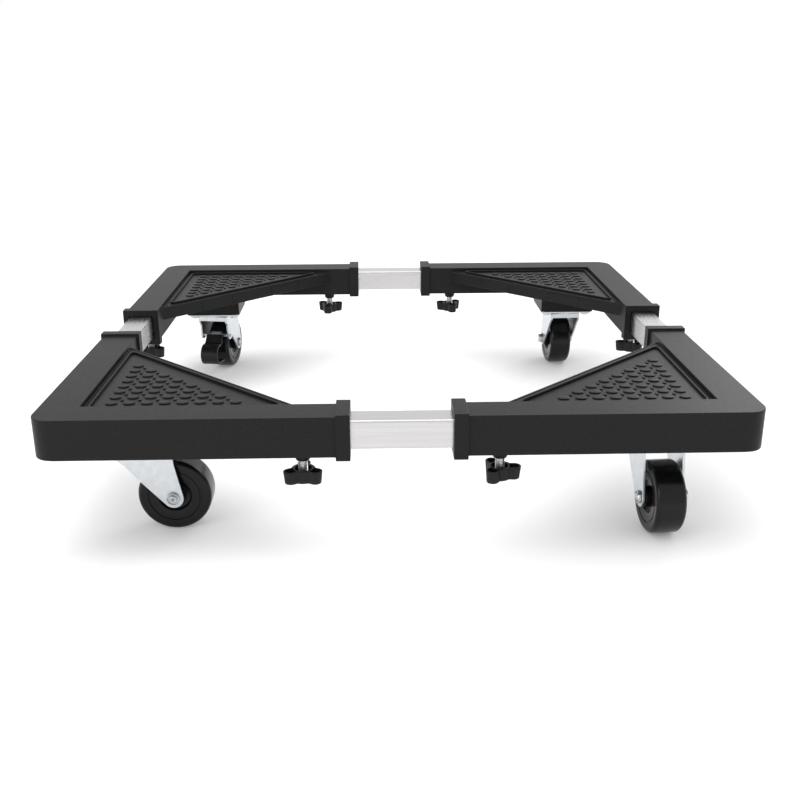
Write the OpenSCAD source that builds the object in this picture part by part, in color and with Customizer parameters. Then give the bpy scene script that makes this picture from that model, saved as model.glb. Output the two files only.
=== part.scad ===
// Adjustable square wheel dolly: four moulded corners slide on four square tubes,
// eight lock knobs hold the size, and each corner carries a swivel caster.
// Millimetres, +Z up. The origin is on the floor, under the middle of the frame.

/* [Frame] */
// Height of the arms' top face above the floor
deck_z = 127; // [120:1:140]
// Length of each arm, from the outer corner to the end of its collar
arm_len = 258; // [240:1:280]
// Width of an arm
arm_w = 34; // [34:0.5:38]
// Height of an arm
arm_h = 34.8; // [34.8:0.2:38]
// Free tube between two collars, as the frame is set here
side_gap = 84; // [2:1:180]
// Radius of the outer corner
corner_r = 17; // [10:1:20]
// Length of the raised collar at an arm's mouth
collar_len = 12; // [8:1:16]
// How far the collar stands proud of the arm
collar_proud = 2.5; // [1:0.1:3]

/* [Tubes] */
// Outside size of the square tube
tube_s = 25; // [25:0.1:25.2]
// Wall of the tube
tube_wall = 1.2; // [0.8:0.1:2]
// Length of a tube
tube_len = 300; // [290:1:310]
// Gap between the tube and its socket on each side
tube_gap = 0.3; // [0.25:0.05:0.4]
// Depth of a socket from the arm's mouth
socket_depth = 155; // [152:1:170]

/* [Tread panel] */
// Distance from the outer corner to the panel's long edge, along either arm
panel_leg = 254.5; // [245:0.5:258]
// Depth of the long edge's top below the deck
rim_drop = 4.4; // [3:0.1:6]
// Depth of the panel's floor below the deck
floor_drop = 4.8; // [4.6:0.1:8]
// Thickness of the panel
panel_t = 3; // [2:0.5:4]
// Height of the wall along the long edge
rim_h = 14.1; // [10:0.1:18]
// Thickness of that wall and of the ribs
rib_t = 2.4; // [2:0.1:3]
// Pitch of the tread pads
pad_pitch = 15; // [13:0.5:15]
// Number of pads along the longest row
pad_rows = 8; // [4:1:8]
// Distance of the first pad from both outer faces
pad_first = 53; // [52:0.5:58]
// Height of a pad
pad_h = 2; // [1:0.1:2.5]

/* [Lock knobs] */
// Distance of a knob from the arm's mouth
knob_in = 40; // [36:1:44]
// Diameter of the threaded stud
stud_d = 8; // [8:0.1:8]
// Diameter of the boss under the arm
knob_boss_d = 17.6; // [16:0.2:20]
// Height of the boss under the arm
knob_boss_h = 5.4; // [1:0.1:6]
// Height of the knob's top above the floor
knob_top_z = 76.5; // [74:0.5:80]
// Height of the knob
knob_h = 11; // [10:0.5:14]
// Distance of a lobe's centre from the knob's axis
lobe_off = 12.5; // [11:0.5:13]
// Radius of a lobe
lobe_r = 5.5; // [5:0.5:6]

/* [Casters] */
// Distance of the swivel axis from the two outer faces of its corner
swivel_in = 73; // [70:0.5:76]
// Diameter of the wheel
wheel_d = 65; // [62:0.5:66]
// Width of the tread
wheel_w = 27; // [24:0.5:28]
// Distance of the axle behind the swivel axis
trail = 27; // [24:0.5:28]
// Side of the square mounting plate
plate_s = 66; // [62:1:68]
// Hole spacing of the mounting plate
plate_holes = 50; // [48:1:52]
// Height of the plate's top above the floor
plate_z = 84; // [82:0.5:86]
// Directions in which the casters trail, front left first, then front right, rear left, rear right
trail_dirs = [0, -86, 80, 93]; // [-180:1:180]

/* [Hidden] */
$fn = 64;
eps = 0.01;
half_frame = arm_len + side_gap / 2;
arm_bottom = deck_z - arm_h;
socket_s = tube_s + 2 * tube_gap;
socket_edge = (arm_w - socket_s) / 2;
socket_floor = arm_bottom + (arm_h - socket_s) / 2 + 0.1;
tube_z = socket_floor + tube_gap;
tube_r = 2;
knob_pos = side_gap / 2 + knob_in;
arm_mid = half_frame - arm_w / 2;
swivel_pos = half_frame - swivel_in;
floor_z = deck_z - floor_drop;
rim_top = deck_z - rim_drop;

running = 0.05;
stud_r = stud_d / 2;
knob_boss_tip = 11.6;
nut_flats = 13;
nut_h = 5;
nut_z = socket_floor - 0.6 - nut_h;

wheel_r = wheel_d / 2;
hub_half = wheel_w / 2 + 2.4;
hub_r = 9;
web_half = 9;
rim_in_r = 14.5;
rim_in_half = wheel_w / 2 - 1.2;
leg_in = 16.5;
leg_t = 2.4;
tip_r = 9;
axle_r = 4;
plate_t = 2;
ball_gap = 4;
ball_r = ball_gap / 2 - running;
ball_ring = 14.5;
ball_count = 16;
crown_top = plate_z - plate_t - ball_gap;
crown_t = 2.4;
crown_r = 20.5;
crown_skirt = 3.4;
pin_r = 4;
screw_r = 2.5;
screw_len = 18;
screw_flange = 0.9;
screw_head = 3.6;

// Brake of the rear left caster: the lever's pivot, measured from the swivel axis and the floor
brake_t = -9;
brake_z = 51;
brake_pin_r = 2;
lever_half = 7;
pad_half = 11;

CORNERS = ["front_left", "front_right", "rear_left", "rear_right"];
SIGNS = [[-1, -1], [1, -1], [-1, 1], [1, 1]];
SIDES = ["front", "rear", "left", "right"];

function tangent(p, c, r, side) =
    let (d = p - c, l = norm(d), a = atan2(d[1], d[0]) + side * acos(r / l))
    c + r * [cos(a), sin(a)];

// ---- placing ----

module at_corner(i) {
    translate([SIGNS[i][0] * half_frame, SIGNS[i][1] * half_frame, 0])
        mirror([SIGNS[i][0] > 0 ? 1 : 0, 0, 0])
            mirror([0, SIGNS[i][1] > 0 ? 1 : 0, 0])
                children();
}

module at_caster(i) {
    translate([SIGNS[i][0] * swivel_pos, SIGNS[i][1] * swivel_pos, 0])
        rotate([0, 0, trail_dirs[i]])
            children();
}

module at_knob(i, along_x) {
    x = SIGNS[i][0] * (along_x ? knob_pos : arm_mid);
    y = SIGNS[i][1] * (along_x ? arm_mid : knob_pos);
    translate([x, y, 0]) children();
}

// ---- frame ----

// The two arms from above, with the rounded outer corner
module arms_plan() {
    difference() {
        union() {
            square([arm_len - eps, arm_w]);
            square([arm_w, arm_len - eps]);
        }
        square(corner_r);
    }
    intersection() {
        translate([corner_r, corner_r]) circle(r = corner_r);
        square(corner_r + eps);
    }
}

module collar(s) {
    translate([arm_len - collar_len, -s, arm_bottom - s])
        cube([collar_len, arm_w + 2 * s, arm_h + 2 * s]);
}

// Along the first arm, then along the second
module both_arms() {
    children();
    mirror([1, -1, 0]) children();
}

// Band of width w inside the panel, whose outer edge is d inside the long edge
module long_band(d, w) {
    e = panel_leg - d * sqrt(2);
    f = e - w * sqrt(2);
    polygon([[e - arm_w + eps, arm_w - eps], [arm_w - eps, e - arm_w + eps],
             [arm_w - eps, f - arm_w + eps], [f - arm_w + eps, arm_w - eps]]);
}

module panel_plan() {
    e = panel_leg - arm_w + eps;
    polygon([[arm_w - eps, arm_w - eps], [e, arm_w - eps], [arm_w - eps, e]]);
}

// The raised line that frames the tread, r in from the arms and the long edge
module ridge_plan(r) {
    a = arm_w + r;
    b = panel_leg - (r + 4) * sqrt(2) - a;
    polygon([[a, a], [b, a], [a, b]]);
}

module tread_pads() {
    for (i = [0 : pad_rows - 1])
        for (j = [0 : pad_rows - 1 - i])
            translate([pad_first + i * pad_pitch - 5, pad_first + j * pad_pitch - 4, floor_z - eps])
                cube([10, 8, pad_h + eps]);
}

module caster_boss() {
    z = plate_z;
    h = floor_z - panel_t - z + eps;
    translate([swivel_in - plate_s / 2, swivel_in - plate_s / 2, z])
        difference() {
            cube([plate_s, plate_s, h]);
            // hollow cells between the four screw pillars
            for (x = [14, 38])
                translate([x, 3, -eps]) cube([14, plate_s - 6, h - 4]);
            for (y = [14, 38])
                translate([3, y, -eps]) cube([plate_s - 6, 14, h - 4]);
            translate([plate_s / 2, plate_s / 2, -eps]) cylinder(r = 11, h = 5);
        }
}

module under_ribs() {
    far = swivel_in + plate_s / 2;
    z = rim_top - rim_h;
    for (p = [far - rib_t, swivel_in - rib_t / 2])
        translate([p, far - eps, z])
            cube([rib_t, panel_leg - far - p - 2, floor_z - panel_t - z + eps]);
    for (p = [far - rib_t, swivel_in - rib_t / 2])
        translate([far - eps, p, z])
            cube([panel_leg - far - p - 2, rib_t, floor_z - panel_t - z + eps]);
    for (p = [swivel_in - plate_s / 2, swivel_in, far - rib_t])
        both_arms()
            translate([p, arm_w - eps, arm_bottom])
                cube([rib_t, swivel_in - plate_s / 2 - arm_w + 2 * eps, floor_z - panel_t - arm_bottom + eps]);
}

module corner(i) {
    cells = [[6, 6, 24, 24], [36, 6, 20, 22], [60, 6, 20, 22]];
    color("#2b2b2d")
        at_corner(i)
            difference() {
                union() {
                    translate([0, 0, arm_bottom]) linear_extrude(arm_h) arms_plan();
                    both_arms() collar(collar_proud);
                    both_arms()
                        translate([arm_len - knob_in, arm_w / 2, arm_bottom - knob_boss_h])
                            cylinder(d1 = knob_boss_tip, d2 = knob_boss_d, h = knob_boss_h + eps);
                    translate([0, 0, floor_z - panel_t]) linear_extrude(panel_t) panel_plan();
                    translate([0, 0, rim_top - rim_h]) linear_extrude(rim_h) long_band(0, rib_t);
                    translate([0, 0, floor_z - eps])
                        linear_extrude(2.2)
                            difference() {
                                ridge_plan(4);
                                ridge_plan(5.8);
                            }
                    tread_pads();
                    caster_boss();
                    under_ribs();
                }
                both_arms()
                    translate([arm_len - socket_depth, socket_edge, socket_floor])
                        cube([socket_depth + 1, socket_s, socket_s]);
                both_arms()
                    translate([arm_len - knob_in, arm_w / 2, 0]) {
                        translate([0, 0, arm_bottom - knob_boss_h - 1]) cylinder(r = stud_r + 0.3, h = 20);
                        translate([0, 0, nut_z - running])
                            cylinder(d = (nut_flats + 0.2) / cos(30), h = 20, $fn = 6);
                    }
                // cells open at the bottom of the elbow
                translate([6, 6, arm_bottom - 1]) cube([22, 22, arm_h - 3.5]);
                both_arms()
                    for (n = [0, 1, 2])
                        translate([31 + 23 * n, 6, arm_bottom - 1]) cube([20, 22, arm_h - 3.5]);
                for (x = [-1, 1], y = [-1, 1])
                    translate([swivel_in + x * plate_holes / 2, swivel_in + y * plate_holes / 2, plate_z - 1])
                        cylinder(r = screw_r + running, h = screw_len + 2);
            }
}

module tube_plan(s, r) {
    translate([-s / 2, -s / 2 + r]) square([s, s - 2 * r]);
    translate([-s / 2 + r, -s / 2]) square([s - 2 * r, s]);
    for (x = [-1, 1], y = [-1, 1])
        translate([x * (s / 2 - r), y * (s / 2 - r)]) circle(r = r);
}

module tube() {
    color("#d8d8d8")
        translate([-tube_len / 2, 0, tube_z + tube_s / 2])
            rotate([90, 0, 90])
                linear_extrude(tube_len)
                    difference() {
                        tube_plan(tube_s, tube_r);
                        tube_plan(tube_s - 2 * tube_wall, tube_r - tube_wall);
                    }
}

module side_tube(n) {
    if (n < 2)
        translate([0, (n == 0 ? -1 : 1) * arm_mid, 0]) tube();
    else
        translate([(n == 2 ? -1 : 1) * arm_mid, 0, 0]) rotate([0, 0, 90]) tube();
}

// ---- lock knobs ----

module lock_nuts(i) {
    color("#b9bcc0")
        for (along_x = [true, false])
            at_knob(i, along_x)
                rotate([0, 0, along_x ? 0 : 90])
                    translate([0, 0, nut_z])
                        difference() {
                            cylinder(d = nut_flats / cos(30), h = nut_h, $fn = 6);
                            translate([0, 0, -1]) cylinder(r = stud_r + running, h = nut_h + 2);
                        }
}

module stud(i, along_x) {
    base = knob_top_z - knob_h + 3.3;
    color("#c8cacc")
        at_knob(i, along_x)
            translate([0, 0, base]) cylinder(r = stud_r, h = socket_floor - base);
}

// Angle at which a knob stands, so that they don't all point the same way
function knob_turn(i, along_x) = along_x ? 90 + 25 * i : 40 - 35 * i;

// Outline of a knob from above, w inside its edge
module star_plan(w) {
    circle(r = lobe_off - 2.5 - w);
    for (a = [0 : 120 : 240])
        rotate(a) {
            translate([lobe_off, 0]) circle(r = lobe_r - w);
            translate([0, w - lobe_r]) square([lobe_off, 2 * (lobe_r - w)]);
        }
}

module knob(i, along_x) {
    z = knob_top_z - knob_h;
    color("#1d1d1f")
        at_knob(i, along_x)
            rotate([0, 0, knob_turn(i, along_x)])
                difference() {
                    translate([0, 0, z])
                        linear_extrude(knob_h) star_plan(0);
                    translate([0, 0, z + 3]) cylinder(r = stud_r + running, h = knob_h);
                    translate([0, 0, z + 4])
                        difference() {
                            linear_extrude(knob_h) star_plan(1.4);
                            cylinder(r = 8.6, h = knob_h);
                        }
                    translate([0, 0, z + 7.5]) cylinder(r = 7.2, h = knob_h);
                }
}

// ---- casters, drawn with the trail along +X ----

module caster_plate(i) {
    color("#c9ced2")
        at_caster(i)
            rotate([0, 0, -trail_dirs[i]])
                difference() {
                    translate([0, 0, plate_z - plate_t])
                        linear_extrude(plate_t)
                            tube_plan(plate_s, 5);
                    for (x = [-1, 1], y = [-1, 1])
                        translate([x * plate_holes / 2, y * plate_holes / 2, plate_z - 5])
                            cylinder(r = screw_r + 0.4, h = 10);
                    translate([0, 0, plate_z - 5]) cylinder(r = pin_r + running, h = 10);
                }
}

module plate_screws(i) {
    color("#c9ced2")
        at_caster(i)
            rotate([0, 0, -trail_dirs[i]])
                for (x = [-1, 1], y = [-1, 1])
                    translate([x * plate_holes / 2, y * plate_holes / 2, plate_z - plate_t]) {
                        translate([0, 0, -screw_flange]) cylinder(r = 7, h = screw_flange);
                        translate([0, 0, -screw_head]) cylinder(r = 5.2, h = screw_head - screw_flange + eps);
                        translate([0, 0, -eps]) cylinder(r = screw_r, h = screw_len);
                    }
}

module race_balls(i) {
    color("#d7d9db")
        at_caster(i)
            for (n = [0 : ball_count - 1])
                rotate([0, 0, n * 360 / ball_count])
                    translate([ball_ring, 0, crown_top + ball_gap / 2])
                        sphere(r = ball_r, $fn = 24);
}

module kingpin(i) {
    color("#c9ced2")
        at_caster(i)
            rotate_extrude()
                polygon([[0, crown_top - crown_t - 3], [8, crown_top - crown_t - 3],
                         [8, crown_top - crown_t - 0.3], [pin_r, crown_top - crown_t - 0.3],
                         [pin_r, plate_z], [8, plate_z], [7, plate_z + 2.5], [0, plate_z + 2.5]]);
}

// Side of a fork leg: x is along the trail, y is height
module leg_plan(ear) {
    c = [trail, wheel_r];
    top_front = [-20, crown_top];
    lead = [-1, 49.5];
    rear = [29.5, 65];
    difference() {
        union() {
            polygon([top_front, [-20, 70], [-12.7, 64], lead, tangent(lead, c, tip_r, 1),
                     c, tangent(rear, c, tip_r, -1), rear, [28, crown_top]]);
            translate(c) circle(r = tip_r);
            if (ear) {
                translate([brake_t, brake_z]) circle(r = 5);
                polygon([[brake_t - 5, brake_z], [-16, 67], [2, 60], [brake_t + 8, brake_z - 4],
                         [brake_t, brake_z - 5]]);
            }
        }
        translate(c) circle(r = axle_r + running);
        if (ear) translate([brake_t, brake_z]) circle(r = brake_pin_r + running);
    }
}

module fork(i) {
    ear = i == 2;
    out = leg_in + leg_t;
    color("#d5dade")
        at_caster(i)
            difference() {
                union() {
                    for (s = [-1, 1])
                        translate([0, s > 0 ? out : -leg_in, 0])
                            rotate([90, 0, 0]) linear_extrude(leg_t) leg_plan(ear);
                    translate([-20, -out + eps, crown_top - crown_t]) cube([48, 2 * out - 2 * eps, crown_t]);
                    translate([-20, -leg_in - eps, crown_top - crown_t - crown_skirt])
                        cube([2, 2 * leg_in + 2 * eps, crown_skirt + eps]);
                    translate([0, 0, crown_top - eps])
                        difference() {
                            cylinder(r = crown_r, h = ball_gap - 0.4);
                            translate([0, 0, -1]) cylinder(r = crown_r - 2, h = ball_gap + 2);
                        }
                }
                translate([0, 0, crown_top - 10]) cylinder(r = pin_r + running, h = 20);
            }
}

module axle(i) {
    out = leg_in + leg_t;
    color("#c9ced2")
        at_caster(i)
            translate([trail, 0, wheel_r])
                rotate([90, 0, 0]) {
                    translate([0, 0, -out - 2]) cylinder(r = axle_r, h = 2 * out + 2 + eps);
                    translate([0, 0, out]) cylinder(r = 6, h = 2.6);
                    translate([0, 0, -out - 5]) cylinder(d = 11.5, h = 5, $fn = 6);
                }
}

module wheel(i) {
    h = wheel_w / 2;
    color("#141416")
        at_caster(i)
            translate([trail, 0, wheel_r])
                rotate([90, 0, 0])
                    rotate_extrude()
                        polygon([[axle_r + running, -hub_half], [hub_r, -hub_half], [hub_r, -web_half],
                                 [rim_in_r, -web_half], [rim_in_r, -rim_in_half], [wheel_r - 3, -h],
                                 [wheel_r - 0.9, -h + 1], [wheel_r, -h + 3.4], [wheel_r, h - 3.4],
                                 [wheel_r - 0.9, h - 1], [wheel_r - 3, h], [rim_in_r, rim_in_half],
                                 [rim_in_r, web_half], [hub_r, web_half], [hub_r, hub_half],
                                 [axle_r + running, hub_half]]);
}

// ---- brake of the rear left caster ----

module brake_part(half, from = 0) {
    at_caster(2)
        rotate([90, 0, 0])
            translate([0, 0, -half])
                linear_extrude(2 * half)
                    children();
}

// Steel lever: an eye round the pin, a cam towards the tread, and an arm into the pedal
module brake_lever() {
    color("#c9ced2")
        difference() {
            union() {
                brake_part(lever_half) translate([brake_t, brake_z]) circle(r = 4.2);
                brake_part(lever_half)
                    polygon([[-6.9, 40], [-10, 40], [-11.8, 46.4], [-21, 38.6], [-34, 38.6], [-34, 40.9],
                             [-27, 40.7], [-22, 42.4], [-12, 53], [-9, 53], [-6, 52], [-5.8, 50]]);
            }
            brake_part(lever_half + 1) translate([brake_t, brake_z]) circle(r = brake_pin_r + running);
        }
}

// Plastic foot pedal: a tongue over the lever and a curved shell that curls under towards the wheel
module brake_pedal() {
    c = [-31, 31.5];
    color("#1d1d1f") {
        brake_part(pad_half)
            polygon([[-28, 41.3], [-27, 40.95], [-22.15, 42.6], [-13.2, 52.1], [-14.95, 53.75],
                     [-23.6, 44.9], [-28, 43.9]]);
        brake_part(pad_half)
            difference() {
                union() {
                    translate(c) circle(r = 13);
                    polygon([[-31, 18.5], [-15, 17.5], [-14, 20.5], [-31, 26]]);
                }
                translate(c) circle(r = 10.2);
                polygon([[-27, 30], [-27, 60], [0, 60], [0, 24], [-14, 20.5], [-31, 21.5]]);
            }
    }
}

module brake_pin() {
    half = leg_in + leg_t + 1.5;
    color("#c9ced2")
        brake_part(half)
            translate([brake_t, brake_z]) circle(r = brake_pin_r);
}

for (i = [0 : 3]) {
    corner(i);
    side_tube(i);
    lock_nuts(i);
    knob(i, true);
    knob(i, false);
    stud(i, true);
    stud(i, false);
    caster_plate(i);
    plate_screws(i);
    race_balls(i);
    kingpin(i);
    fork(i);
    axle(i);
    wheel(i);
}
brake_lever();
brake_pedal();
brake_pin();
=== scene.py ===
# %% [markdown]
# # An adjustable wheel dolly, finished in detail
# Four moulded plastic corners slide on four square steel tubes, eight lock knobs hold the
# size, and a swivel caster stands under each corner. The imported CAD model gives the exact
# places and the joints. This lesson keeps those places and adds what moulding, stamping and
# turning leave behind: rounded edges, threads, tread blocks, grain, plating and gloss.

# %% Load the fixed frame
import math

import bmesh
import bpy
from mathutils import Euler, Matrix, Vector


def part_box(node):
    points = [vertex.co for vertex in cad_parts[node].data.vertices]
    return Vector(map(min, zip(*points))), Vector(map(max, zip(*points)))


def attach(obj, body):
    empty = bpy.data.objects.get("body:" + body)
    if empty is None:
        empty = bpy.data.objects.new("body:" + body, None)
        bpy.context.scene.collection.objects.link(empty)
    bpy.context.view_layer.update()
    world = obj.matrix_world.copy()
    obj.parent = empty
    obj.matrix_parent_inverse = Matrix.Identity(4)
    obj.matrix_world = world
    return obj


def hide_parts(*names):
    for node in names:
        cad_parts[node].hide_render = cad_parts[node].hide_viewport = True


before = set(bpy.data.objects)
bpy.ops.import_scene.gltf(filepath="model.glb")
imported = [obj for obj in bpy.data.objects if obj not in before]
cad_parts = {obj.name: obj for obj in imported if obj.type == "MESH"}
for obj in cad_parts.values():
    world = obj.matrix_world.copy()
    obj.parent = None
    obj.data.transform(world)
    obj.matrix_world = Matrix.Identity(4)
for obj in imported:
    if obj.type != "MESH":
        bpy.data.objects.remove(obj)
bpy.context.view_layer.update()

MM = 0.001
CORNERS = {"front_left": (-1, -1), "front_right": (1, -1),
           "rear_left": (-1, 1), "rear_right": (1, 1)}

# %% [markdown]
# ## Camera, floor and light
# The view is a little above the frame and almost square to its front. A plain shader floor
# and a white sky give the soft light of a product table: black plastic then shows its form
# only through gloss, which is brightest where the eye grazes a surface. One broad lamp above,
# one low lamp at the left and one behind at the right add a gentle direction.

# %% Camera
VIEW_PLACE = (-0.02152, -1.04659, 0.40646)
VIEW_TURN = (1.22967487, 0.00286644, -0.02759458)
lens = bpy.data.cameras.new("view")
lens.sensor_width = 36
lens.lens = 44.75
lens.clip_end = 100
camera = bpy.data.objects.new("view", lens)
view_turn = Euler(VIEW_TURN, "XYZ").to_matrix().to_4x4()
camera.matrix_world = Matrix.Translation(VIEW_PLACE) @ view_turn
bpy.context.scene.collection.objects.link(camera)
bpy.context.scene.camera = camera
bpy.context.scene.view_settings.view_transform = "Standard"

# %% Sky and lamps
world = bpy.data.worlds.new("studio")
bpy.context.scene.world = world
world.use_nodes = True
world.node_tree.nodes["Background"].inputs["Color"].default_value = (1.0, 1.0, 1.0, 1)
world.node_tree.nodes["Background"].inputs["Strength"].default_value = 1.0


def add_lamp(name, place, aim, size, power):
    """A square area lamp of that side, in metres and watts, aimed at a point."""
    lamp = bpy.data.lights.new(name, "AREA")
    lamp.size = size
    lamp.energy = power
    holder = bpy.data.objects.new(name, lamp)
    turn = (Vector(aim) - Vector(place)).to_track_quat("-Z", "Y")
    holder.matrix_world = Matrix.Translation(place) @ turn.to_matrix().to_4x4()
    bpy.context.scene.collection.objects.link(holder)


add_lamp("lamp_above", (-0.4, -0.2, 1.9), (0, 0, 0), 1.6, 14)
add_lamp("lamp_left", (-1.6, -1.3, 0.7), (0, 0, 0.08), 0.7, 6)
add_lamp("lamp_right", (1.3, 1.5, 1.15), (0.15, 0, 0.1), 1.0, 9)

# %% [markdown]
# ## Working by hand, in code
# The next helpers are the moves of a modelling session: pick an object, enter edit mode,
# select by place, apply a modifier, leave. `rebuild` takes a CAD node, which is a bag of
# loose triangles, welds a copy of it and dissolves the flat parts into clean faces, so that
# its edges can be rounded. `soften` is the finish of every part: a real edge is never a
# knife, and its small radius is what catches the light.

# %% Selecting and editing
bpy.ops.object.select_all(action="DESELECT")


def choose(piece):
    """Select this object alone, in object mode."""
    if bpy.context.mode != "OBJECT":
        bpy.ops.object.mode_set(mode="OBJECT")
    bpy.ops.object.select_all(action="DESELECT")
    piece.select_set(True)
    bpy.context.view_layer.objects.active = piece


def enter(piece, kind="FACE"):
    """Edit mode with nothing selected, ready to pick faces, edges or vertices."""
    choose(piece)
    bpy.ops.object.mode_set(mode="EDIT")
    bpy.ops.mesh.select_mode(type=kind)
    bpy.ops.mesh.select_all(action="DESELECT")


def pick(piece, kind, test):
    """Select the elements of one kind that pass a test, and say how many there are."""
    mesh = bmesh.from_edit_mesh(piece.data)
    elements = {"FACE": mesh.faces, "EDGE": mesh.edges, "VERT": mesh.verts}[kind]
    found = [element for element in elements if test(element)]
    for element in found:
        element.select_set(True)
    bmesh.update_edit_mesh(piece.data)
    return len(found)


def face_out():
    """In edit mode, turn every face outwards."""
    bpy.ops.mesh.select_all(action="SELECT")
    bpy.ops.mesh.normals_make_consistent(inside=False)


def leave():
    bpy.ops.object.mode_set(mode="OBJECT")


def apply_modifier(piece, kind, **settings):
    choose(piece)
    modifier = piece.modifiers.new(kind.title(), kind)
    for name, value in settings.items():
        setattr(modifier, name, value)
    bpy.ops.object.modifier_apply(modifier=modifier.name)


def soften(piece, width, segments=2, angle=28):
    """Round every edge sharper than angle, then let flat faces keep flat shading."""
    apply_modifier(piece, "BEVEL", width=width * MM, segments=segments,
                   limit_method="ANGLE", angle_limit=math.radians(angle),
                   use_clamp_overlap=False, miter_outer="MITER_ARC")
    smooth(piece)


def smooth(piece, angle=50):
    choose(piece)
    bpy.ops.object.shade_smooth_by_angle(angle=math.radians(angle))
    apply_modifier(piece, "WEIGHTED_NORMAL", keep_sharp=True, weight=80)


def named_copy(piece, name):
    """A copy with its own mesh."""
    other = bpy.data.objects.new(name, piece.data.copy())
    other.data.name = name
    bpy.context.scene.collection.objects.link(other)
    return other


def place(piece, matrix):
    """Move the mesh, not the object, and keep the faces outwards if the move mirrors it."""
    piece.data.transform(matrix)
    if matrix.determinant() < 0:
        piece.data.flip_normals()
    return piece


WELD = 0.03 * MM
FLAT = math.radians(0.8)
FINE_WELD = 0.004 * MM


def rebuild(node, name):
    """A welded copy of a CAD node, with its flat areas as single faces."""
    piece = named_copy(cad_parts[node], name)
    piece.data.materials.clear()
    enter(piece)
    bpy.ops.mesh.select_all(action="SELECT")
    bpy.ops.mesh.customdata_custom_splitnormals_clear()
    bpy.ops.mesh.remove_doubles(threshold=WELD)
    bpy.ops.mesh.dissolve_limited(angle_limit=FLAT)
    leave()
    return piece


def wire(name, profile):
    """A row of edges through (radius, height) points, in mm, ready to be turned."""
    mesh = bpy.data.meshes.new(name)
    spots = [(r * MM, 0, z * MM) for r, z in profile]
    mesh.from_pydata(spots, [(i, i + 1) for i in range(len(spots) - 1)], [])
    piece = bpy.data.objects.new(name, mesh)
    bpy.context.scene.collection.objects.link(piece)
    return piece


def lathe(name, profile, steps):
    """Spin a profile of (radius, height) points, in mm, round the vertical axis."""
    piece = wire(name, profile)
    enter(piece, "VERT")
    bpy.ops.mesh.select_all(action="SELECT")
    bpy.ops.mesh.spin(steps=steps, angle=2 * math.pi, center=(0, 0, 0), axis=(0, 0, 1))
    bpy.ops.mesh.select_all(action="SELECT")
    bpy.ops.mesh.remove_doubles(threshold=FINE_WELD)
    face_out()
    leave()
    return piece


def merge_pieces(pieces, name):
    """Join several meshes into the first, as one piece of that name."""
    choose(pieces[0])
    for piece in pieces:
        piece.select_set(True)
    bpy.ops.object.join()
    pieces[0].name = name
    pieces[0].data.name = name
    return pieces[0]


def cut_away(piece, cutter):
    apply_modifier(piece, "BOOLEAN", operation="DIFFERENCE", solver="EXACT", object=cutter)
    bpy.data.objects.remove(cutter)


# %% [markdown]
# ## Finishes
# Each finish is a small node tree read in Object coordinates, so that a pattern has its real
# size in metres. The frame is polypropylene from an etched mould: almost black, with a fine
# grain and a few pale specks of dust. The wheels are harder and polished. The casters are
# zinc plated: pale blue-grey with a soft mottle. The tubes are stainless, brushed along
# their length.

# %% Node helpers
def new_finish(name):
    finish = bpy.data.materials.new(name)
    finish.use_nodes = True
    nodes, links = finish.node_tree.nodes, finish.node_tree.links
    return finish, nodes, links, nodes["Principled BSDF"]


def noise(nodes, links, size, detail=4, stretch=(1, 1, 1)):
    """Noise whose blotches are about `size` mm across, drawn out by `stretch`."""
    where = nodes.new("ShaderNodeTexCoord")
    mapping = nodes.new("ShaderNodeMapping")
    mapping.inputs["Scale"].default_value = [1 / (s * size * MM) for s in stretch]
    texture = nodes.new("ShaderNodeTexNoise")
    texture.inputs["Scale"].default_value = 1
    texture.inputs["Detail"].default_value = detail
    links.new(where.outputs["Object"], mapping.inputs["Vector"])
    links.new(mapping.outputs["Vector"], texture.inputs["Vector"])
    return texture.outputs["Fac"]


def ramp(nodes, links, value, stops):
    """Map a value through colour stops of (position, (r, g, b))."""
    band = nodes.new("ShaderNodeValToRGB")
    while len(band.color_ramp.elements) < len(stops):
        band.color_ramp.elements.new(0.5)
    for element, (position, colour) in zip(band.color_ramp.elements, stops):
        element.position = position
        element.color = (*colour, 1)
    links.new(value, band.inputs["Fac"])
    return band.outputs["Color"]


def grey(value):
    return (value, value, value)


def bumps(nodes, links, shader, height, depth, under=None):
    """Small relief, depth in mm, on top of an earlier relief if there is one."""
    bump = nodes.new("ShaderNodeBump")
    bump.inputs["Distance"].default_value = depth * MM
    links.new(height, bump.inputs["Height"])
    if under:
        links.new(under, bump.inputs["Normal"])
    links.new(bump.outputs["Normal"], shader.inputs["Normal"])
    return bump.outputs["Normal"]


# %% Plastics
def plastic(name, dark, light, gloss, level, grain, depth, specks):
    """Moulded plastic: two near blacks finely mixed, an etched grain and a little dust."""
    finish, nodes, links, shader = new_finish(name)
    shader.inputs["Specular IOR Level"].default_value = level
    clouds = noise(nodes, links, 2.5, 4)
    colour = ramp(nodes, links, clouds, [(0.3, dark), (0.7, light)])
    dust = ramp(nodes, links, noise(nodes, links, 1.6, 2), [(0.70, grey(0)), (0.76, grey(1))])
    mix = nodes.new("ShaderNodeMix")
    mix.data_type = "RGBA"
    mix.inputs["B"].default_value = (light[0] + specks, light[1] + specks, light[2] + specks, 1)
    links.new(dust, mix.inputs["Factor"])
    links.new(colour, mix.inputs["A"])
    links.new(mix.outputs["Result"], shader.inputs["Base Color"])
    rough = [(0.3, grey(gloss[0])), (0.7, grey(gloss[1]))]
    gleam = ramp(nodes, links, noise(nodes, links, 1.5, 4), rough)
    links.new(gleam, shader.inputs["Roughness"])
    bumps(nodes, links, shader, noise(nodes, links, grain, 3), depth)
    return finish


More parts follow.
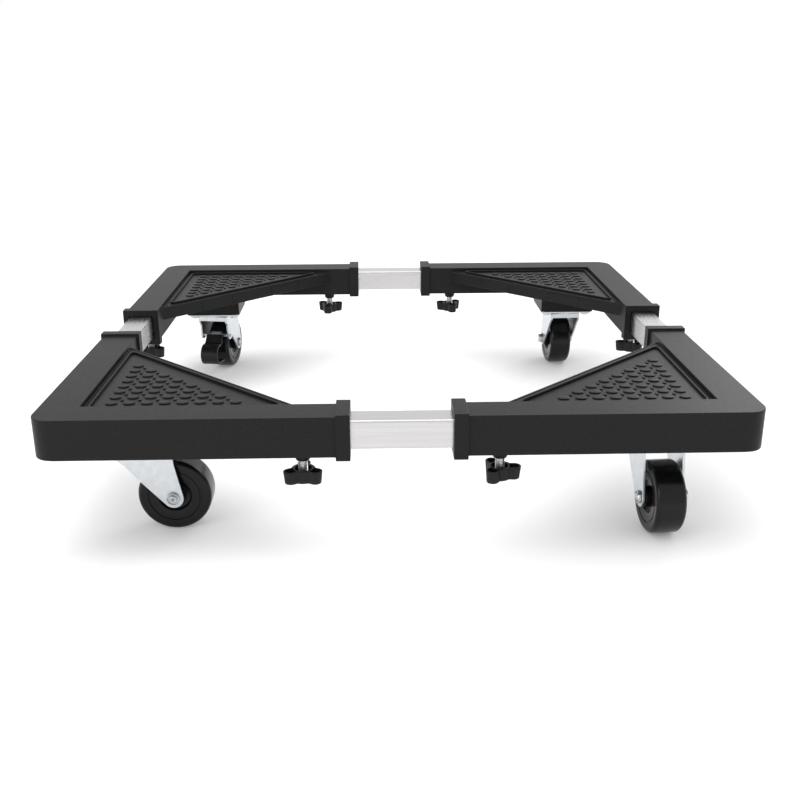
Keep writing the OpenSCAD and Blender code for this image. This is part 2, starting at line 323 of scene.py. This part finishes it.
FRAME_PLASTIC = plastic(
    "frame_plastic", dark=(0.0095, 0.0095, 0.0098), light=(0.013, 0.013, 0.0134),
    gloss=(0.38, 0.46), level=0.13, grain=0.6, depth=0.03, specks=0.012)
KNOB_PLASTIC = plastic(
    "knob_plastic", dark=(0.010, 0.010, 0.0105), light=(0.0135, 0.0135, 0.014),
    gloss=(0.38, 0.46), level=0.16, grain=0.5, depth=0.02, specks=0.01)
PEDAL_PLASTIC = plastic(
    "pedal_plastic", dark=(0.009, 0.009, 0.0095), light=(0.012, 0.012, 0.0125),
    gloss=(0.3, 0.42), level=0.2, grain=0.5, depth=0.015, specks=0.01)
WHEEL_PLASTIC = plastic(
    "wheel_plastic", dark=(0.0045, 0.0045, 0.0048), light=(0.006, 0.006, 0.0064),
    gloss=(0.17, 0.27), level=0.22, grain=1.2, depth=0.003, specks=0.004)


# %% Metals
HAIRLINE = 0.25


def metal(name, dull, bright, gloss, patch, stretch=(1, 1, 1), scratch=0.004):
    """Bare or plated metal: a mottle of two tones, uneven gloss and hairline scratches."""
    finish, nodes, links, shader = new_finish(name)
    shader.inputs["Metallic"].default_value = 1
    mottle = noise(nodes, links, patch, 5, stretch)
    tone = ramp(nodes, links, mottle, [(0.32, dull), (0.66, bright)])
    links.new(tone, shader.inputs["Base Color"])
    hair = noise(nodes, links, HAIRLINE, 3, stretch)
    rough = [(0.3, grey(gloss[0])), (0.7, grey(gloss[1]))]
    links.new(ramp(nodes, links, hair, rough), shader.inputs["Roughness"])
    bumps(nodes, links, shader, hair, scratch)
    return finish


ZINC_PLATE = metal("zinc_plate", dull=(0.53, 0.55, 0.57), bright=(0.60, 0.62, 0.64),
                   gloss=(0.24, 0.34), patch=6)
STUD_STEEL = metal("stud_steel", dull=(0.50, 0.50, 0.51), bright=(0.68, 0.68, 0.69),
                   gloss=(0.2, 0.34), patch=2)
BALL_STEEL = metal("ball_steel", dull=(0.66, 0.67, 0.68), bright=(0.78, 0.79, 0.80),
                   gloss=(0.08, 0.16), patch=1, scratch=0.001)
BRUSHED = {"dull": (0.53, 0.52, 0.52), "bright": (0.61, 0.60, 0.60),
           "gloss": (0.22, 0.30), "patch": 0.6, "scratch": 0.0008}
BRUSH_LENGTH = 120
TUBE_STEEL_X = metal("tube_steel_x", stretch=(BRUSH_LENGTH, 1, 1), **BRUSHED)
TUBE_STEEL_Y = metal("tube_steel_y", stretch=(1, BRUSH_LENGTH, 1), **BRUSHED)
FLOOR_PAINT, floor_nodes, floor_links, floor_shader = new_finish("floor_paint")
floor_shader.inputs["Roughness"].default_value = 0.9
floor_shader.inputs["Specular IOR Level"].default_value = 0.1
floor_shader.inputs["Emission Color"].default_value = (1, 1, 1, 1)
floor_shader.inputs["Emission Strength"].default_value = 0.12
floor_clouds = noise(floor_nodes, floor_links, 300, 2)
floor_tone = ramp(floor_nodes, floor_links, floor_clouds, [(0.3, grey(0.90)), (0.7, grey(0.92))])
floor_links.new(floor_tone, floor_shader.inputs["Base Color"])


def dress(piece, finish, slot_name, body, *nodes):
    """Give a finished piece its material, its body and the CAD nodes it replaces; slot_name is
    not used.
    """
    piece.data.materials.clear()
    piece.data.materials.append(finish)
    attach(piece, body)
    if nodes:
        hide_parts(*nodes)
    return piece


# %% Floor
FLOOR_R = 30
bpy.ops.mesh.primitive_circle_add(vertices=96, radius=FLOOR_R, fill_type="NGON",
                                  location=(0, 0, 0))
floor = bpy.context.object
floor.name = "floor"
floor.data.materials.append(FLOOR_PAINT)

# %% [markdown]
# ## The corner moulding
# One corner is a single injection moulding: two hollow arms, a collar round each mouth, a
# sunken triangular tread panel and a ribbed boss for the caster. The CAD node already has
# all of that with exact sockets, so its welded copy is the best blank. The plain tread
# blocks and the square ridge are cut out of the floor of the panel, because they get better
# shapes below. Then every edge is rounded, as a mould always does. The corners are mirror
# images, so one is made and three are mirrored from it. A mirrored mesh needs its smoothing
# worked out anew.

# %% Measures of one corner, from the outer corner
HALF = 300 * MM
PANEL_FLOOR = 122.2 * MM
ARM = 34 * MM
PANEL_LEG = 254.5 * MM


def corner_uv(point):
    """Distances of a point from the two outer faces of the front left corner."""
    return point.x + HALF, point.y + HALF


# %% Clear the panel's floor and round all edges
def on_panel(face):
    u, v = corner_uv(face.calc_center_median())
    low = min(vert.co.z for vert in face.verts)
    inside = min(u, v) > ARM + 1 * MM and u + v < PANEL_LEG - 6 * MM
    return inside and low > PANEL_FLOOR - 0.1 * MM


corner = rebuild("corner_front_left", "corner_moulding_front_left")
enter(corner)
print("tread faces cleared:", pick(corner, "FACE", on_panel))
bpy.ops.mesh.delete(type="FACE")
bpy.ops.mesh.select_mode(type="EDGE")
bpy.ops.mesh.select_non_manifold()
bpy.ops.mesh.edge_face_add()
bpy.ops.mesh.select_all(action="DESELECT")
leave()

# %% Draw the stud bosses down a little, as the moulding leaves them deeper than a bare cone
BOSS_SPOTS = ((218 * MM, 17 * MM), (17 * MM, 218 * MM))
BOSS_REACH = 6.5 * MM
BOSS_END = 86.8 * MM
BOSS_PULL = 2.6 * MM


def on_boss_end(vert):
    u, v = corner_uv(vert.co)
    near = any(math.hypot(u - a, v - b) < BOSS_REACH for a, b in BOSS_SPOTS)
    return near and abs(vert.co.z - BOSS_END) < 0.1 * MM


enter(corner, "VERT")
print("boss vertices:", pick(corner, "VERT", on_boss_end))
bpy.ops.transform.translate(value=(0, 0, -BOSS_PULL))
leave()
soften(corner, 0.7)
print("corner faces:", len(corner.data.polygons))

# %% [markdown]
# ## Tread: ridge, blocks and bars
# The panel carries a grid of blocks, square at the foot and rounded at the crown, with
# narrow bars set between them, and a thin ridge with rounded corners runs round the whole
# field. One block starts as a 20-sided cylinder: its foot is pushed out to a rounded
# square, its crown is inset twice and lifted into a low dome. The ridge starts as a flat
# triangle whose corners are bevelled, wider where they are sharper, then inset and raised.
# All of them are open underneath and reach down through the panel's floor. Blocks stand
# about 1.2 mm above it, bars 1 mm and the ridge 2.4 mm.

# %% One block and one bar
PITCH = 15 * MM
FIRST = (55 * MM, 53 * MM)
BLOCK = (10.2 * MM, 8.6 * MM, 2.6 * MM)
BAR = (3.2 * MM, 4.2 * MM, 2.6 * MM)
SINK = 0.3 * MM
CROWN_STEPS = ((0.07, 0.12), (0.3, 0.03))
CROWN_SHARE = 0.97
SAMPLE_HEIGHT = 1.15
FOOT_HALF, FOOT_LEAST = 0.86, 0.72


def open_foot(piece):
    """Enter edit mode, delete the face underneath and select the one on top."""
    enter(piece)
    pick(piece, "FACE", lambda f: f.normal.z < -0.9)
    bpy.ops.mesh.delete(type="FACE")
    pick(piece, "FACE", lambda f: f.normal.z > 0.9)


def tread_block():
    """Shaped in units of its own radius round its middle, then scaled to its size."""
    bpy.ops.mesh.primitive_cylinder_add(vertices=20, radius=1, depth=1, location=(0, 0, 0))
    block = bpy.context.object
    open_foot(block)
    for inset, rise in CROWN_STEPS:
        bpy.ops.mesh.inset(thickness=inset)
        bpy.ops.transform.translate(value=(0, 0, rise))
    bpy.ops.mesh.poke()
    leave()
    for vert in block.data.vertices:
        x, y, z = vert.co
        share = CROWN_SHARE if z > 0.5 else 1.0
        if z < 0.1:
            square = max(abs(x), abs(y), FOOT_LEAST)
            share *= 1.0 + (FOOT_HALF / square - 1.0)
        vert.co = (x * share * BLOCK[0] / 2, y * share * BLOCK[1] / 2,
                   -SINK + z * BLOCK[2] / SAMPLE_HEIGHT)
    smooth(block, 60)
    return block


def tread_bar():
    bpy.ops.mesh.primitive_cube_add(size=1, location=(0, 0, 0))
    bar = bpy.context.object
    open_foot(bar)
    bpy.ops.transform.resize(value=(0.72, 0.86, 1))
    leave()
    place(bar, Matrix.Diagonal((*BAR, 1)))
    place(bar, Matrix.Translation((0, 0, -SINK)))
    soften(bar, 0.35)
    return bar


def grid_of(sample, rows, offset):
    """Copies of a sample over the triangular grid, each with its own mesh."""
    made = []
    for i in range(rows):
        for j in range(rows - i):
            x = -HALF + FIRST[0] + (i + offset) * PITCH
            y = -HALF + FIRST[1] + (j + offset) * PITCH
            spot = Matrix.Translation((x, y, PANEL_FLOOR))
            made.append(place(named_copy(sample, "tread_part"), spot))
    bpy.data.objects.remove(sample)
    return made


# %% The ridge round the field
RIDGE_OFF_ARM, RIDGE_OFF_WEB = 4, 8
RIDGE_WIDE = 1.8 * MM
RIDGE_HIGH = 2.4 * MM
SQUARE_CORNER, SHARP_CORNER = 6 * MM, 13 * MM


def tread_ridge():
    inner = ARM + RIDGE_OFF_ARM * MM
    far = PANEL_LEG - RIDGE_OFF_WEB * math.sqrt(2) * MM - inner
    bpy.ops.mesh.primitive_circle_add(vertices=3, radius=0.1, fill_type="NGON",
                                      location=(0, 0, 0))
    ridge = bpy.context.object
    spots = [(inner, inner), (far, inner), (inner, far)]
    for vert, (u, v) in zip(ridge.data.vertices, spots):
        vert.co = (u - HALF, v - HALF, PANEL_FLOOR - SINK)
    enter(ridge, "VERT")
    near_square = 2 * (inner - HALF) + 1 * MM
    near_sharp = far - HALF - 1 * MM
    for reach, test in ((SQUARE_CORNER, lambda v: v.co.x + v.co.y < near_square),
                        (SHARP_CORNER, lambda v: max(v.co.x, v.co.y) > near_sharp)):
        bpy.ops.mesh.select_all(action="DESELECT")
        print("ridge corners:", pick(ridge, "VERT", test))
        bpy.ops.mesh.bevel(offset=reach, segments=8, affect="VERTICES", clamp_overlap=False)
    face_out()
    bpy.ops.mesh.select_mode(type="FACE")
    bpy.ops.mesh.select_all(action="SELECT")
    bpy.ops.mesh.inset(thickness=RIDGE_WIDE)
    bpy.ops.mesh.delete(type="FACE")
    bpy.ops.mesh.select_all(action="SELECT")
    lift = (0, 0, RIDGE_HIGH + SINK)
    bpy.ops.mesh.extrude_region_move(TRANSFORM_OT_translate={"value": lift})
    face_out()
    leave()
    soften(ridge, 0.55)
    return ridge


BLOCK_ROWS = 8
blocks = grid_of(tread_block(), BLOCK_ROWS, 0)
bars = grid_of(tread_bar(), BLOCK_ROWS - 1, 0.5)
tread = merge_pieces(blocks + bars + [tread_ridge()], "tread_front_left")
print("tread faces:", len(tread.data.polygons))

# %% Mirror the corner and its tread to all four places
for name, (sx, sy) in CORNERS.items():
    flip = Matrix.Diagonal((-sx, -sy, 1, 1))
    for sample, part in ((corner, "corner_moulding_"), (tread, "tread_")):
        if name == "front_left":
            piece = sample
        else:
            piece = place(named_copy(sample, part + name), flip)
            choose(piece)
            bpy.ops.mesh.customdata_custom_splitnormals_clear()
            smooth(piece)
        replaced = ["corner_" + name] if sample is corner else []
        dress(piece, FRAME_PLASTIC, "frame_plastic", "corner_" + name, *replaced)

# %% [markdown]
# ## Tubes, lock nuts and race balls
# These CAD nodes already have their true shape: a 25 mm tube with rounded edges, hexagon
# nuts out of sight in their pockets, and ball bearings. They keep their meshes and only get
# a finish. The brushing must run along each tube, so the tubes along Y have a finish of
# their own with the stretch turned.

# %% Finishes for the CAD nodes that stay
STAYS = {"tube_front": TUBE_STEEL_X, "tube_rear": TUBE_STEEL_X,
         "tube_left": TUBE_STEEL_Y, "tube_right": TUBE_STEEL_Y}
for name in CORNERS:
    STAYS["lock_nuts_" + name] = ZINC_PLATE
    STAYS["race_balls_" + name] = BALL_STEEL
for node, finish in STAYS.items():
    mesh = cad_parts[node].data
    mesh.materials.clear()
    mesh.materials.append(finish)

# %% [markdown]
# ## Threaded studs
# A lock stud is M8 with a 1.25 mm pitch. The Screw modifier is the honest way to a thread:
# it climbs one pitch for each turn. The ragged first and last turns are cut flat by two
# bisects that also close the ends.

# %% One stud, then eight
THREAD_PITCH = 1.25
THREAD_ROOT, THREAD_CREST = 3.36, 3.97
THREAD_STEPS = 28
STUD_LOW, STUD_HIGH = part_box("stud_x_front_left")[0].z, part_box("stud_x_front_left")[1].z


def threaded_stud():
    stud = wire("stud", [(THREAD_ROOT, 0), (THREAD_ROOT, 0.12), (THREAD_CREST, 0.54),
                         (THREAD_CREST, 0.71), (THREAD_ROOT, 1.13), (THREAD_ROOT, THREAD_PITCH)])
    turns = int((STUD_HIGH - STUD_LOW) / MM / THREAD_PITCH) + 3
    apply_modifier(stud, "SCREW", angle=2 * math.pi, screw_offset=THREAD_PITCH * MM,
                   iterations=turns, steps=THREAD_STEPS, render_steps=THREAD_STEPS,
                   use_merge_vertices=True, merge_threshold=0.001 * MM)
    place(stud, Matrix.Translation((0, 0, STUD_LOW - 1.5 * THREAD_PITCH * MM)))
    enter(stud)
    bpy.ops.mesh.select_all(action="SELECT")
    bpy.ops.mesh.remove_doubles(threshold=FINE_WELD)
    for height, beyond in ((STUD_LOW, {"clear_inner": True}), (STUD_HIGH, {"clear_outer": True})):
        bpy.ops.mesh.select_all(action="SELECT")
        bpy.ops.mesh.bisect(plane_co=(0, 0, height), plane_no=(0, 0, 1), use_fill=True, **beyond)
    face_out()
    leave()
    choose(stud)
    bpy.ops.object.shade_smooth_by_angle(angle=math.radians(35))
    return stud


def axis_of(node):
    """The middle of a node's box, seen from above."""
    low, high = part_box(node)
    return (low.x + high.x) / 2, (low.y + high.y) / 2


stud = threaded_stud()
for name in CORNERS:
    for arm in "xy":
        node = f"stud_{arm}_{name}"
        x, y = axis_of(node)
        piece = place(named_copy(stud, "threaded_" + node), Matrix.Translation((x, y, 0)))
        dress(piece, STUD_STEEL, "stud_steel", node, node)
bpy.data.objects.remove(stud)

# %% [markdown]
# ## Lock knobs
# Each knob is a three-lobed star, hollow on top with a ring round the stud. The CAD node
# has those walls. Its welded copy gets generous moulded edges, and the foot is drawn in a
# little first, as the real ones taper to leave the mould.

# %% Round the knobs
KNOB_FOOT, KNOB_FLARE = 0.93, 0.07
for name in CORNERS:
    for arm in "xy":
        node = f"knob_{arm}_{name}"
        piece = rebuild(node, "star_" + node)
        low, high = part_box(node)
        x, y = axis_of(f"stud_{arm}_{name}")
        for vert in piece.data.vertices:
            share = (vert.co.z - low.z) / (high.z - low.z)
            pull = KNOB_FOOT + KNOB_FLARE * share
            vert.co.x = x + (vert.co.x - x) * pull
            vert.co.y = y + (vert.co.y - y) * pull
        soften(piece, 0.5, 3)
        dress(piece, KNOB_PLASTIC, "knob_plastic", node, node)

# %% [markdown]
# ## Caster wheels
# The wheels are hard black plastic, turned here on a lathe profile: a slightly crowned
# tread, full shoulders, a groove in the side, a deep recess and a hub that stands out to meet
# the fork. The profile is a closed loop round the bore, spun once, and welded at its seam.

# %% Caster places
SWIVEL = 227 * MM
TRAIL = 27 * MM
WHEEL_R = 32.5 * MM
TRAIL_TURNS = {"front_left": 0, "front_right": -86, "rear_left": 80, "rear_right": 93}
AXLE = Matrix.Translation((TRAIL, 0, WHEEL_R)) @ Matrix.Rotation(math.radians(90), 4, "X")


def caster_place(name):
    """The foot of a swivel axis, with X pointing along the trail."""
    sx, sy = CORNERS[name]
    spot = Matrix.Translation((sx * SWIVEL, sy * SWIVEL, 0))
    return spot @ Matrix.Rotation(math.radians(TRAIL_TURNS[name]), 4, "Z")


CASTERS = {name: caster_place(name) for name in CORNERS}


# %% One wheel, then four
def arc(cx, cy, r, start, end, count):
    """Points of an arc, angles in degrees."""
    turns = [math.radians(start + (end - start) * k / count) for k in range(count + 1)]
    return [(cx + r * math.cos(turn), cy + r * math.sin(turn)) for turn in turns]


def wheel_profile():
    half = ([(4.06, 15.4), (4.5, 15.85), (8.2, 15.85)] + arc(8.35, 15.25, 0.6, 90, 0, 3)
            + [(9.2, 9.9), (9.9, 9.2), (13.3, 9.2), (14.1, 9.8), (14.6, 11.7), (15.3, 12.3)]
            + [(22.1, 12.85), (22.4, 12.15), (23.3, 12.15), (23.6, 12.95)]
            + arc(28.0, 9.0, 4.45, 88, 8, 8) + [(32.49, 5.0), (32.5, 1.2)])
    return half + [(r, -z) for r, z in reversed(half)] + [half[0]]


wheel = lathe("wheel", wheel_profile(), 96)
smooth(wheel, 40)
for name, caster in CASTERS.items():
    piece = place(named_copy(wheel, "hard_wheel_" + name), caster @ AXLE)
    dress(piece, WHEEL_PLASTIC, "wheel_plastic", "wheel_" + name, "wheel_" + name)
bpy.data.objects.remove(wheel)
print("wheel profile points:", len(wheel_profile()))


# %% [markdown]
# ## Axle bolts and plate screws
# The bolt has a head with a rolled rim round a cross recess, and a washer, a hexagon nut and
# its collar on the other side. The screws under each mounting plate have a flange and the
# same recess. Heads are turned profiles. The recess is a tapered cross cut out with a
# Boolean, which is what the punch does to the real head.

# %% Fasteners
def cross_cutter(size, depth, height, outwards):
    """A tapered cross that sinks `depth` into a head whose top is at `height`, all in mm."""
    bars = []
    for turn in (0, 90):
        bpy.ops.mesh.primitive_cube_add(size=1, location=(0, 0, 0))
        bar = bpy.context.object
        enter(bar)
        pick(bar, "FACE", lambda f: f.normal.z * outwards < -0.9)
        bpy.ops.transform.resize(value=(0.35, 0.6, 1))
        leave()
        place(bar, Matrix.Diagonal((size * MM, size * 0.24 * MM, depth * 2 * MM, 1)))
        bar.data.transform(Matrix.Rotation(math.radians(turn), 4, "Z"))
        bar.data.transform(Matrix.Translation((0, 0, height * MM)))
        bars.append(bar)
    cut_first = bars[0]
    apply_modifier(cut_first, "BOOLEAN", operation="UNION", solver="EXACT", object=bars[1])
    bpy.data.objects.remove(bars[1])
    return cut_first


def axle_bolt():
    """Along Z: head at the top, nut at the bottom, with the fork's faces at 18.9 mm."""
    shank = [(0, -21), (3.6, -21), (3.95, -20.6), (3.95, 18.95)]
    side = [(5.85, 18.95), (5.98, 19.3), (5.9, 20.8), (5.5, 21.35), (5.0, 21.3)]
    groove = [(4.7, 20.7), (4.5, 19.8), (3.9, 19.7), (3.6, 20.0)]
    crown = [(3.4, 21.0), (2.7, 21.4), (0, 21.5)]
    bolt = lathe("bolt", shank + side + groove + crown, 48)
    cut_away(bolt, cross_cutter(4.8, 1.4, 21.5, 1))
    washer = lathe("washer", [(4.3, -18.95), (7.2, -18.95), (7.2, -19.7), (4.3, -19.7),
                              (4.3, -18.95)], 40)
    bpy.ops.object.select_all(action="DESELECT")
    bpy.ops.mesh.primitive_cylinder_add(vertices=6, radius=5.7 * MM, depth=4.1 * MM,
                                        location=(0, 0, -21.8 * MM))
    nut = bpy.context.object
    place(nut, Matrix.Translation(nut.location))
    nut.location = (0, 0, 0)
    collar = lathe("nut_collar", [(4.0, -23.8), (4.9, -23.8), (4.9, -23.7), (4.9, -21.0),
                                  (4.0, -21.0), (4.0, -23.8)], 32)
    soften(nut, 0.5)
    return merge_pieces([bolt, washer, nut, collar], "bolt")


SCREW_HEAD = [(0, -3.55), (3.2, -3.5), (4.6, -3.1), (5.15, -2.3), (5.2, -1.2)]
SCREW_FLANGE = [(5.3, -0.95), (6.7, -0.9), (7.0, -0.7), (7.0, -0.03)]
SCREW_SHANK = [(2.5, -0.02), (2.5, 16), (1.6, 17.9), (0, 17.95)]


def plate_screw(under):
    """Flange against the plate's underside at height `under`, head below it, in mm."""
    profile = [(r, under + z) for r, z in SCREW_HEAD + SCREW_FLANGE + SCREW_SHANK]
    screw = lathe("screw", profile, 40)
    cut_away(screw, cross_cutter(5.4, 1.7, profile[0][1], -1))
    return screw


PLATE_UNDER = 82
HOLE = 25 * MM
bolt = axle_bolt()
smooth(bolt, 35)
screw = plate_screw(PLATE_UNDER)
smooth(screw, 35)
for name, caster in CASTERS.items():
    piece = place(named_copy(bolt, "axle_bolt_" + name), caster @ AXLE)
    dress(piece, ZINC_PLATE, "plated_steel", "fork_" + name, "axle_" + name)
    sx, sy = CORNERS[name]
    four = []
    for n, (dx, dy) in enumerate(((-1, -1), (1, -1), (-1, 1), (1, 1))):
        spot = Matrix.Translation((sx * SWIVEL + dx * HOLE, sy * SWIVEL + dy * HOLE, 0))
        turn = Matrix.Rotation(math.radians(20 + 31 * n), 4, "Z")
        four.append(place(named_copy(screw, "screw"), spot @ turn))
    piece = merge_pieces(four, "flanged_screws_" + name)
    dress(piece, ZINC_PLATE, "plated_steel", "corner_" + name, "plate_screws_" + name)
bpy.data.objects.remove(bolt)
bpy.data.objects.remove(screw)

# %% [markdown]
# ## Plates, kingpins and forks
# These are stamped and zinc plated steel. A stamping has a small radius on its sheared edges
# and a big one at its bends, so the two long edges where a fork's legs fold down from the
# crown get a wide bevel before the general rounding.

# %% Plates and kingpins
for name in CORNERS:
    piece = rebuild("caster_plate_" + name, "mounting_plate_" + name)
    soften(piece, 0.35)
    dress(piece, ZINC_PLATE, "plated_steel", "corner_" + name, "caster_plate_" + name)
    piece = rebuild("kingpin_" + name, "riveted_kingpin_" + name)
    soften(piece, 0.7, 3, 40)
    dress(piece, ZINC_PLATE, "plated_steel", "corner_" + name, "kingpin_" + name)

# %% Forks
CROWN_TOP = 78 * MM
LEG_OUT = 18.9 * MM
LEG_BEND = 2.0 * MM
NEAR = 0.05 * MM


def bend_edge(edge):
    """A long edge on top of the crown, where a leg folds down."""
    return all(abs(vert.co.z - CROWN_TOP) < NEAR and abs(abs(vert.co.y) - LEG_OUT) < NEAR
               for vert in edge.verts)


for name, caster in CASTERS.items():
    piece = rebuild("fork_" + name, "stamped_fork_" + name)
    place(piece, caster.inverted())
    enter(piece, "EDGE")
    count = pick(piece, "EDGE", bend_edge)
    bpy.ops.mesh.bevel(offset=LEG_BEND, segments=5, affect="EDGES", clamp_overlap=False)
    leave()
    soften(piece, 0.3, 2, 40)
    place(piece, caster)
    dress(piece, ZINC_PLATE, "plated_steel", "fork_" + name, "fork_" + name)
    print(name, "fork, bends:", count)

# %% [markdown]
# ## Brake
# Only the rear left caster has a brake: a plated lever on a pin through the fork, with a
# black pedal that curls under. Both are extruded shapes in the CAD, so rounding their edges
# is enough.

# %% Brake parts
for node, name, finish, slot_name, width, body in (
        ("brake_lever", "pressed_brake_lever", ZINC_PLATE, "plated_steel", 0.5, "brake"),
        ("brake_pedal", "curved_brake_pedal", PEDAL_PLASTIC, "pedal_plastic", 0.8, "brake"),
        ("brake_pin", "riveted_brake_pin", ZINC_PLATE, "plated_steel", 0.4, "fork_rear_left")):
    piece = rebuild(node, name)
    soften(piece, width, 3, 35)
    dress(piece, finish, slot_name, body, node)

# %% Sizes and the last line
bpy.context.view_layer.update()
shown = [item for item in bpy.data.objects if item.type == "MESH" and not item.hide_render]
triangles = sum(len(face.vertices) - 2 for item in shown for face in item.data.polygons)
print("triangles:", triangles)
